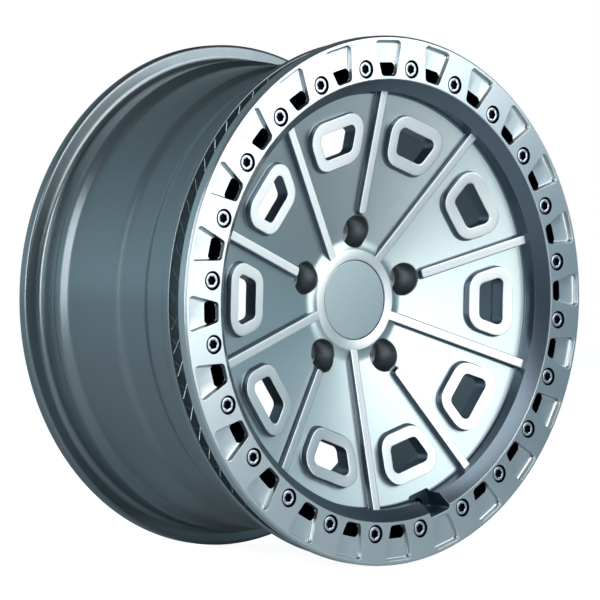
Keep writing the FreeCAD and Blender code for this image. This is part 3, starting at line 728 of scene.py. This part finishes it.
def build_ring(props):
    """Clamp ring: flat front with its openings, sloped bore, rim and back."""
    shell = Shell()
    slack = 0.05
    side = turn((BOLT_CIRCLE, 0.0), BOLT_PITCH / 2)

    def solid(x, z):
        if not RING_FLAT[0] - slack < math.hypot(x, z) < RING_FLAT[1] + slack:
            return False
        if inside(NOTCH, turn((x, z), -VALVE_ANGLE), NOTCH_BREAK):
            return False
        step = round((math.degrees(math.atan2(z, x)) - VALVE_ANGLE) / BOLT_PITCH)
        local = turn((x, z), -VALVE_ANGLE - BOLT_PITCH * step)
        shape = VALVE_POCKET if step % BOLT_COUNT == 0 else POCKET
        if inside(shape, local, POCKET_BREAK) and not cut_corner(shape, local, shape[4] + POCKET_BREAK):
            return False
        return math.hypot(local[0] - side[0], abs(local[1]) - side[1]) > COUNTERBORE + COUNTERBORE_BREAK

    rims = [circle(0, 0, r, props.segments) for r in RING_FLAT]
    shell.sheet([], ring_holes() + rims, lambda x, z: 0.0, solid)
    bands = [RING_FRONT] * 3 + [RING_INSIDE] * 3
    shell.spin(RING_BORE, bands, props.segments, gap=NOTCH[2])
    shell.spin(RING_RIM, RING_FRONT, props.segments)
    return shell


def cut_corner(shape, point, corner):
    """True where a point in a grown trapezoid lies outside its rounded corners."""
    outline = [Vector(p) for p in trapezoid(shape, corner - shape[4])]
    hit = False
    p = Vector(point)
    for a, b in zip(outline, outline[1:] + outline[:1]):
        if (a.y > p.y) != (b.y > p.y) and p.x < (b.x - a.x) * (p.y - a.y) / (b.y - a.y) + a.x:
            hit = not hit
    return not hit


# Rounded foot of a pocket's wall: distance from the wall, depth
POCKET_FILLET = [(0.55, 2.9), (0.8, 3.6), (1.2, 4.15), (1.8, 4.5), (2.6, POCKET_DEPTH)]


def pocket_floor(shape, x, z):
    """Depth of a pocket's rounded floor, which rises towards its walls."""
    reach = wall_distance(shape, (x, z))
    if reach <= POCKET_FILLET[0][0]:
        return POCKET_FILLET[0][1]
    for (a, da), (b, db) in zip(POCKET_FILLET, POCKET_FILLET[1:]):
        if reach <= b:
            return da + (db - da) * (reach - a) / (b - a)
    return POCKET_DEPTH


def build_pocket(shape, deep):
    """One tapered pocket of the ring: broken edge, sloped wall and rounded floor, opened if deep."""
    shell = Shell()
    foot, foot_depth = POCKET_FILLET[0]
    wall = [(POCKET_BREAK, 0.0), (0.12, 0.1), (0.0, 0.4), (-0.3, 1.8), (-foot, foot_depth)]
    shell.loft([[at(x, z, d) for x, z in trapezoid(shape, grow)] for grow, d in wall])

    def floor(x, z):
        if cut_corner(shape, (x, z), shape[4] - foot):
            return False
        return not deep or cut_corner(RELIEF, (x, z), RELIEF[4])

    rim, *rings = [trapezoid(shape, -reach) for reach, _ in POCKET_FILLET]
    points = [p for ring in rings for p in ring]
    loops = [rim]
    if deep:
        points = [p for p in points if cut_corner(RELIEF, p, RELIEF[4])]
        loops.append(trapezoid(RELIEF))
    shell.sheet(points, loops, lambda x, z: pocket_floor(shape, x, z), floor)
    return shell


def build_relief():
    """One opening from a pocket's floor into the land behind the ring."""
    shell = Shell()
    relief = trapezoid(RELIEF)
    loops = [[at(x, z, pocket_floor(POCKET, x, z) + sink) for x, z in relief] for sink in (0.0, 0.4)]
    shell.loft(loops + [[at(x, z, RELIEF_FLOOR) for x, z in relief]])
    shell.plate([relief], RELIEF_FLOOR)
    return shell


def build_counterbore():
    """Counterbore of one ring bolt, from its broken edge to the hole for the shank."""
    shell = Shell()
    steps = [(COUNTERBORE + COUNTERBORE_BREAK, 0.0), (COUNTERBORE + 0.1, 0.08), (COUNTERBORE, 0.35),
             (COUNTERBORE, BOLT_SEAT - 0.4), (COUNTERBORE - 0.4, BOLT_SEAT), (4.2, BOLT_SEAT)]
    shell.loft([round_loop(BOLT_CIRCLE, r, d, BORE_STEPS) for r, d in steps])
    return shell


def lobed(grow, d):
    """Six-lobed outline of a bolt's socket at a depth."""
    loop = []
    for k in range(HEAD_STEPS):
        a = math.tau * k / HEAD_STEPS
        r = SOCKET_RADIUS + grow + SOCKET_LOBE * math.cos(6 * a)
        loop.append(at(BOLT_CIRCLE + r * math.cos(a), r * math.sin(a), d))
    return loop


def build_bolt():
    """Ring bolt: low round head with a broken edge and a six-lobed mouth."""
    shell = Shell()
    head = [(BOLT_HEAD, BOLT_SEAT), (BOLT_HEAD, 1.9), (6.88, 1.3), (6.55, 0.95), (6.2, BOLT_TOP)]
    loops = [round_loop(BOLT_CIRCLE, r, d, HEAD_STEPS) for r, d in head]
    shell.loft(loops + [lobed(0.4, BOLT_TOP), lobed(0.1, BOLT_TOP + 0.15)])
    return shell


def build_socket():
    """Socket of one ring bolt: lobed wall, and a floor closed by a small plate."""
    shell = Shell()
    shell.loft([lobed(0.1, BOLT_TOP + 0.15), lobed(0.0, 1.3), lobed(0.0, 4.4), lobed(-3.3, 4.6)])
    shell.plate([circle(BOLT_CIRCLE, 0.0, 1.2, 24)], 4.55)
    return shell


def build_lug_cup():
    """Seat in a lug pocket, its lip following the slope of the face, its floor a cone for the bolt's head."""
    shell = Shell()
    wall = 14.3
    deepest_lip = 62.0
    lip = [(LUG_POCKET, 0.5), (15.85, 0.45), (15.6, 0.6), (15.45, 1.1), (15.3, 4.0), (wall, 9.0)]
    seat = [(wall, 83.2), (14.1, 83.8), (13.5, 84.0), (12.0, 84.0), (LUG_HOLE, 87.0), (LUG_HOLE, 90.0)]
    loops = []
    for r, sink in lip:
        outline = circle(LUG_CIRCLE, 0.0, r, LUG_STEPS)
        loops.append([at(x, z, min(surface_depth(math.hypot(x, z)), deepest_lip) + sink) for x, z in outline])
    loops.extend(round_loop(LUG_CIRCLE, r, d, LUG_STEPS) for r, d in seat)
    shell.loft(loops)
    return shell


def build_cap():
    """Plain cap, a hair below the boss, with its snap skirt behind."""
    shell = Shell()
    front = BOSS_DEPTH + 0.7
    back = 58.4
    middle = 0.02
    section = rounded([
        (middle, front, 0), (36.9, front, 0.5), (37.75, front + 0.85, 0.4), (37.75, CAP_SEAT, 0),
        (32.6, CAP_SEAT, 0), (32.6, 68.4, 0), (33.7, 68.4, 0), (32.6, 70.6, 0), (31.0, 70.6, 0),
        (31.0, back, 0), (middle, back, 0),
    ])
    shell.spin(section, 0, HUB_STEPS)
    return shell


def build_knurl():
    """Two crossing ridges of the shoulder's knurled face."""
    shell = Shell()
    half_width = 0.45
    for lean in (KNURL_LEAN, -KNURL_LEAN):
        ends = [turn((KNURL_INNER, 0.0), -lean / 2), turn((KNURL_OUTER, 0.0), lean / 2)]
        along = (Vector(ends[1]) - Vector(ends[0])).normalized()
        side = Vector((-along.y, along.x)) * half_width
        rows = []
        for shift, height in ((-1, 0.0), (-0.35, 0.4), (0.35, 0.4), (1, 0.0)):
            d = SHOULDER_DEPTH - height
            rows.append([at(x + side.x * shift, z + side.y * shift, d) for x, z in ends])
        shell.loft(rows, closed=False)
    return shell


class WheelLook(bpy.types.PropertyGroup):
    """Sizes, colours and lights that a user would change"""
    segments: IntProperty(
        name="Turned steps", description="Steps round each turned surface", default=288, min=48)
    frame_width: FloatProperty(
        name="Frame width", description="Width of the raised frame round a window",
        default=FRAME_WIDTH * MM, unit="LENGTH")
    rib_width: FloatProperty(
        name="Rib width", description="Width of a rib at its top", default=RIB_WIDTH * MM, unit="LENGTH")
    face_colour: FloatVectorProperty(
        name="Sunk face", description="Colour of the satin face",
        default=linear("#BFCDCE")[:3], subtype="COLOR")
    top_colour: FloatVectorProperty(
        name="Machined tops", description="Colour of the tops of ribs, frames and boss",
        default=linear("#EFF4F4")[:3], subtype="COLOR")
    ring_colour: FloatVectorProperty(
        name="Clamp ring", description="Colour of the clamp ring",
        default=linear("#C6CFD2")[:3], subtype="COLOR")
    barrel_colour: FloatVectorProperty(
        name="Barrel", description="Colour of the outside of the barrel",
        default=linear("#949EA2")[:3], subtype="COLOR")
    cap_colour: FloatVectorProperty(
        name="Cap", description="Colour of the centre cap",
        default=linear("#AFBEC1")[:3], subtype="COLOR")
    key_power: FloatProperty(
        name="Key light", description="Power of the large front light", default=15.5, unit="POWER")
    fill_power: FloatProperty(
        name="Fill light", description="Power of the overhead light", default=0.5, unit="POWER")
    rim_power: FloatProperty(
        name="Rim light", description="Power of the light on the left", default=15.0, unit="POWER")
    floor_power: FloatProperty(
        name="Back floor", description="Power of the light on the floor behind", default=16.0, unit="POWER")
    lens: FloatProperty(
        name="Lens", description="Focal length of the camera", default=186.795, unit="CAMERA")


class WHEEL_OT_forging(bpy.types.Operator):
    """Build the forged body: sunk face, barrel, window frames, ribs and knurl"""
    bl_idname = "wheel.forging"
    bl_label = "Forged body"

    def execute(self, context):
        props = context.scene.wheel_look
        paint = finishes()
        slot = "forged_body"
        machined = paint["machined"]
        side = paint["flank painted shade"]
        barrel = paint["barrel satin"]
        skins = [paint["satin silver"], machined, paint["black painted shade"], paint["ring bore and shade grey"]]
        barrel_and_shade = [barrel, paint["inner painted shade"]]
        add_piece("forged_face", build_face(props).mesh("forged_face", skins), "wheel_body")
        add_piece("forged_barrel", build_barrel(props).mesh("forged_barrel", barrel_and_shade))
        foot, top = build_frames(props)
        # Flanks of frames and ribs and the walls of the windows take painted shade; their tops are machined
        repeat("window_frames", foot, WINDOW_COUNT, WINDOW_PITCH, 0.0, side, slot)
        repeat("window_frame_tops", top, WINDOW_COUNT, WINDOW_PITCH, 0.0, machined, slot)
        long_rib = ("long_ribs", LONG_RIB_START, LUG_ANGLE - LUG_PITCH / 2)
        short_rib = ("short_ribs", SHORT_RIB_START, LUG_ANGLE)
        for name, start, phase in (long_rib, short_rib):
            foot, top = build_ribs(props, start)
            repeat(name, foot, LUG_COUNT, LUG_PITCH, phase, side, slot)
            repeat(name + "_tops", top, LUG_COUNT, LUG_PITCH, phase, machined, slot)
        repeat("shoulder_knurl", build_knurl(), KNURL_COUNT, KNURL_PITCH, 0.0, barrel, slot)
        return {"FINISHED"}


class WHEEL_OT_ring(bpy.types.Operator):
    """Build the clamp ring with its pockets and counterbores"""
    bl_idname = "wheel.ring"
    bl_label = "Clamp ring"

    def execute(self, context):
        paint = finishes()
        slot = "clamp_ring"
        satin = paint["ring satin"]
        black = paint["black painted shade"]
        ring = build_ring(context.scene.wheel_look).mesh("clamp_ring", [satin, paint["ring bore and shade grey"]])
        deep = (BOLT_COUNT - 1, BOLT_PITCH, VALVE_ANGLE + BOLT_PITCH)
        add_piece("clamp_ring", ring, "beadlock_ring")
        repeat("ring_pockets", build_pocket(POCKET, True), *deep, satin, slot)
        # Reliefs and counterbores are black painted shade, where the deep holes would fall in shadow
        repeat("ring_reliefs", build_relief(), *deep, black, slot)
        repeat("valve_pocket", build_pocket(VALVE_POCKET, False), 1, BOLT_PITCH, VALVE_ANGLE, satin, slot)
        repeat("ring_counterbores", build_counterbore(), *BOLT_ROW, black, slot)
        return {"FINISHED"}


class WHEEL_OT_bolts(bpy.types.Operator):
    """Build the ring's bolts"""
    bl_idname = "wheel.bolts"
    bl_label = "Ring bolts"

    def execute(self, context):
        paint = finishes()
        slot = "bolt_steel"
        repeat("ring_bolt_set", build_bolt(), *BOLT_ROW, paint["plated bolt"], slot, "ring_bolts")
        # Sockets are black painted shade, where they would fall in shadow
        repeat("bolt_sockets", build_socket(), *BOLT_ROW, paint["black painted shade"], slot)
        return {"FINISHED"}


class WHEEL_OT_hub(bpy.types.Operator):
    """Build the lug seats and the centre cap"""
    bl_idname = "wheel.hub"
    bl_label = "Lug seats and cap"

    def execute(self, context):
        paint = finishes()
        repeat("lug_seats", build_lug_cup(), LUG_COUNT, LUG_PITCH, LUG_ANGLE, paint["dark seat"],
               "seat_steel", "lug_seat_sleeves")
        add_piece("hub_cap", build_cap().mesh("hub_cap", [paint["cap satin"]]), "centre_cap")
        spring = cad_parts["cap_retaining_ring"]
        spring.data.materials.clear()
        spring.data.materials.append(paint["spring wire"])
        return {"FINISHED"}


# Stage, in metres and degrees
FLOOR_LEVEL = -0.2485
FLOOR_REACH = 6
KEY = {"size": (1.3, 1.5), "place": (0.235, -0.95, 0.684), "target": (0.235, 0.0, 0.684),
       "colour": "#FFFFFF", "roll": 40.0}
OVERHEAD = {"size": (1.6, 1.6), "place": (-0.2, 0.1, 1.5), "target": (0.0, 0.0, 0.0), "colour": "#F4F8FA"}
RIM = {"size": (0.5, 1.8), "place": (-2.1, -0.72, 0.5), "target": (0.0, 0.1, 0.1), "colour": "#FFFFFF"}
BACK_FLOOR = {"size": (1.6, 1.6), "place": (-1.5, 1.5, 1.2), "target": (-1.4, 1.4, 0.0), "colour": "#E4F0F4"}
CAMERA_PLACE = (-1.9471, -2.2541, 0.0411)
CAMERA_RIGHT = Vector((0.762, -0.6473, 0.0191))
CAMERA_UP = Vector((-0.0053, 0.0233, 0.9997))
CAMERA_AHEAD = Vector((0.6475, 0.7619, -0.0144))
SENSOR_WIDTH = 36.0

# Studio walls: direction, cosine at which the wall fades out, colour
STUDIO_BASE = "#3A464F"
RIGHT_WALL = ((0.93, -0.37, 0.0), 0.3, "#5F8595")
BACK_WALL = ((-0.7, 0.71, 0.1), -0.1, "#AEC6CF")
WALL_FULL = 0.95


def area_light(name, power, size, place, target, colour, roll=0.0):
    """Rectangular light that faces a target; the camera doesn't see it."""
    light = bpy.data.lights.new(name, "AREA")
    light.energy = power
    light.shape = "RECTANGLE"
    light.size, light.size_y = size
    light.color = linear(colour)[:3]
    item = bpy.data.objects.new(name, light)
    item.location = place
    aim = (Vector(target) - Vector(place)).to_track_quat("-Z", "Y").to_matrix()
    item.rotation_euler = (aim @ Matrix.Rotation(math.radians(roll), 3, "Z")).to_euler()
    item.visible_camera = False
    bpy.context.scene.collection.objects.link(item)
    return item


def studio_colour(tree, socket):
    """Dark studio with a cool wall on the right, a grey one behind on the left, and a dim ceiling."""
    link = tree.links.new
    place = add_node(tree, "ShaderNodeTexCoord")
    split = add_node(tree, "ShaderNodeSeparateXYZ")
    fade = add_node(tree, "ShaderNodeMapRange",
                    inputs={"From Min": 0.1, "From Max": 0.8, "To Min": 1.0, "To Max": 0.3})
    link(place.outputs["Generated"], split.inputs["Vector"])
    link(split.outputs["Z"], fade.inputs["Value"])
    total = add_node(tree, "ShaderNodeVectorMath", operation="ADD",
                     inputs={0: linear(STUDIO_BASE)[:3], 1: (0.0, 0.0, 0.0)})
    for towards, near, colour in (RIGHT_WALL, BACK_WALL):
        facing = add_node(tree, "ShaderNodeVectorMath", operation="DOT_PRODUCT", inputs={1: towards})
        reach = add_node(tree, "ShaderNodeMapRange", interpolation_type="SMOOTHSTEP",
                         inputs={"From Min": near, "From Max": WALL_FULL})
        wall = add_node(tree, "ShaderNodeVectorMath", operation="SCALE", inputs={0: linear(colour)[:3]})
        add = add_node(tree, "ShaderNodeVectorMath", operation="ADD")
        link(place.outputs["Generated"], facing.inputs[0])
        link(facing.outputs["Value"], reach.inputs["Value"])
        link(reach.outputs["Result"], wall.inputs["Scale"])
        link(total.outputs["Vector"], add.inputs[0])
        link(wall.outputs["Vector"], add.inputs[1])
        total = add
    out = add_node(tree, "ShaderNodeVectorMath", operation="SCALE")
    link(total.outputs["Vector"], out.inputs[0])
    link(fade.outputs["Result"], out.inputs["Scale"])
    link(out.outputs["Vector"], socket)


def build_floor(scene):
    """Pale floor that the camera sees as white, and that the wheel sees as a dimmer, cooler grey."""
    square = ((-1, -1), (1, -1), (1, 1), (-1, 1))
    corners = [(x * FLOOR_REACH, y * FLOOR_REACH, FLOOR_LEVEL) for x, y in square]
    mesh = bpy.data.meshes.new("floor")
    mesh.from_pydata(corners, [], [(0, 1, 2, 3)])
    pale = bpy.data.materials.new("floor white")
    pale.use_nodes = True
    tree = pale.node_tree
    link = tree.links.new
    shader = tree.nodes["Principled BSDF"]
    shader.inputs["Roughness"].default_value = 0.7
    shader.inputs["Emission Color"].default_value = linear("#FFFFFF")
    seen = add_node(tree, "ShaderNodeLightPath")
    glow = add_node(tree, "ShaderNodeMapRange", inputs={"To Min": 0.03, "To Max": 0.9})
    tint = add_node(tree, "ShaderNodeMix", data_type="RGBA")
    tint.inputs["A"].default_value = linear("#C2CCD2")
    tint.inputs["B"].default_value = linear("#FAFAFA")
    link(seen.outputs["Is Camera Ray"], tint.inputs["Factor"])
    link(tint.outputs["Result"], shader.inputs["Base Color"])
    link(seen.outputs["Is Camera Ray"], glow.inputs["Value"])
    link(glow.outputs["Result"], shader.inputs["Emission Strength"])
    mesh.materials.append(pale)
    floor = bpy.data.objects.new("floor", mesh)
    scene.collection.objects.link(floor)


def build_world(scene):
    """Studio around the wheel, behind a background that the camera sees as white."""
    world = bpy.data.worlds.new("studio")
    world.use_nodes = True
    scene.world = world
    tree = world.node_tree
    link = tree.links.new
    dim = tree.nodes["Background"]
    studio_colour(tree, dim.inputs["Color"])
    white = add_node(tree, "ShaderNodeBackground", inputs={"Color": linear("#FFFFFF"), "Strength": 1.0})
    path = add_node(tree, "ShaderNodeLightPath")
    mix = add_node(tree, "ShaderNodeMixShader")
    link(path.outputs["Is Camera Ray"], mix.inputs["Fac"])
    link(dim.outputs["Background"], mix.inputs[1])
    link(white.outputs["Background"], mix.inputs[2])
    link(mix.outputs["Shader"], tree.nodes["World Output"].inputs["Surface"])


def build_camera(scene, lens):
    """Camera at the photograph's place."""
    data = bpy.data.cameras.new("camera")
    data.lens = lens
    data.sensor_width = SENSOR_WIDTH
    camera = bpy.data.objects.new("camera", data)
    turned = Matrix((CAMERA_RIGHT, CAMERA_UP, -CAMERA_AHEAD)).transposed()
    camera.matrix_world = Matrix.Translation(CAMERA_PLACE) @ turned.to_4x4()
    scene.collection.objects.link(camera)
    scene.camera = camera


class WHEEL_OT_stage(bpy.types.Operator):
    """Set the floor, the lights, the background and the camera"""
    bl_idname = "wheel.stage"
    bl_label = "Stage"

    def execute(self, context):
        scene = context.scene
        props = scene.wheel_look
        build_floor(scene)
        build_world(scene)
        area_light("key", props.key_power, **KEY)
        area_light("overhead", props.fill_power, **OVERHEAD)
        area_light("rim", props.rim_power, **RIM)
        wash = area_light("back floor", props.floor_power, **BACK_FLOOR)
        wash.visible_glossy = False
        build_camera(scene, props.lens)
        scene.view_settings.view_transform = "Standard"
        return {"FINISHED"}


class WHEEL_PT_panel(bpy.types.Panel):
    """Sidebar list of the wheel's sizes, colours, lights and build steps"""
    bl_idname = "WHEEL_PT_panel"
    bl_label = "Forged wheel"
    bl_space_type = "VIEW_3D"
    bl_region_type = "UI"
    bl_category = "Wheel"

    def draw(self, context):
        props = context.scene.wheel_look
        for name in WheelLook.__annotations__:
            self.layout.prop(props, name)
        for operator in OPERATORS:
            self.layout.operator(operator.bl_idname)


OPERATORS = (WHEEL_OT_forging, WHEEL_OT_ring, WHEEL_OT_bolts, WHEEL_OT_hub, WHEEL_OT_stage)
CLASSES = (WheelLook,) + OPERATORS + (WHEEL_PT_panel,)


def register():
    for item in CLASSES:
        bpy.utils.register_class(item)
    bpy.types.Scene.wheel_look = PointerProperty(type=WheelLook)


def unregister():
    del bpy.types.Scene.wheel_look
    for item in reversed(CLASSES):
        bpy.utils.unregister_class(item)


def main():
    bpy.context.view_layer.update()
    register()
    bpy.ops.wheel.forging()
    bpy.ops.wheel.ring()
    bpy.ops.wheel.bolts()
    bpy.ops.wheel.hub()
    bpy.ops.wheel.stage()


if __name__ == "__main__":
    main()
